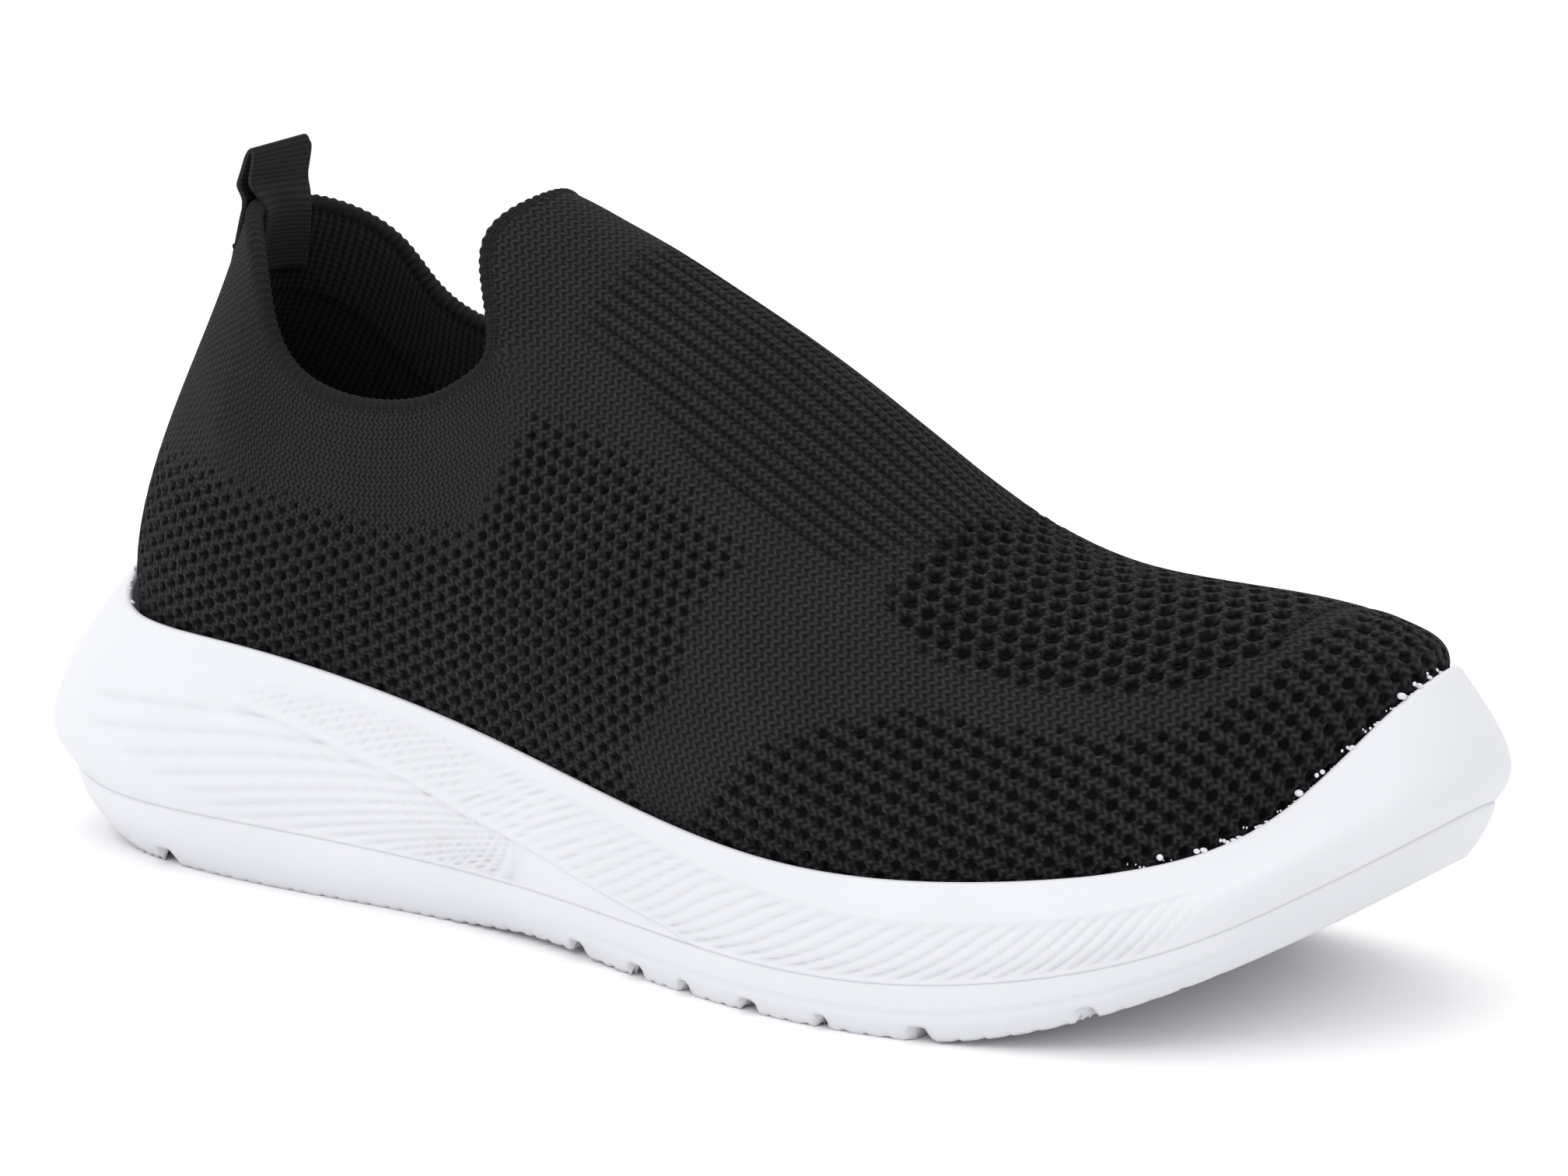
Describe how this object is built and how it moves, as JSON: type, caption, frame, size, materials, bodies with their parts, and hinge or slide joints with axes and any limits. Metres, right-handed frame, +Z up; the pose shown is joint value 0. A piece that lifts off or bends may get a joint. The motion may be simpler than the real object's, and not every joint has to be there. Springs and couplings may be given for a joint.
{
  "type": "running shoe",
  "caption": "Right slip-on running shoe: one-piece knit upper with a raised tongue and heel pull tab, on a thick rockered foam sole with a toe bumper.",
  "frame": {"origin": "on the ground below the middle of the shoe's bounding box", "axes": "+X towards the toe, +Y towards the inner side of the right foot, +Z up"},
  "size_m": [0.2915, 0.1052, 0.1327],
  "materials": {
    "white_rubber": "matte moulded white sole rubber",
    "white_foam": "moulded white foam with a fine skin",
    "grey_board": "non-woven board",
    "black_thread": "dull polyester thread",
    "black_foam": "open-cell foam",
    "black_lining": "ribbed knit lining",
    "black_knit": "engineered knit with open mesh zones",
    "stiffener_sheet": "thermoplastic stiffener sheet",
    "black_webbing": "woven webbing"
  },
  "bodies": {
    "shoe": {"outsole": "white_rubber", "midsole": "white_foam", "strobel_board": "grey_board", "strobel_stitching": "black_thread", "insole_foam": "black_foam", "insole_cover": "black_lining", "knit_upper": "black_knit", "knit_lining": "black_lining", "heel_counter": "stiffener_sheet", "toe_puff": "stiffener_sheet", "collar_overlock": "black_thread", "tab_anchor": "black_webbing", "tab_bartack": "black_thread"},
    "tab": {"pull_tab": "black_webbing"}
  },
  "joints": [
    {"name": "pull_tab_fold", "type": "hinge", "parent": "shoe", "child": "tab", "pos_m": [-0.09699, 0.00245, 0.12533], "axis": [0, 1, 0], "range_deg": [-80, 40], "stiffness_Nm_per_rad": 0.002}
  ]
}
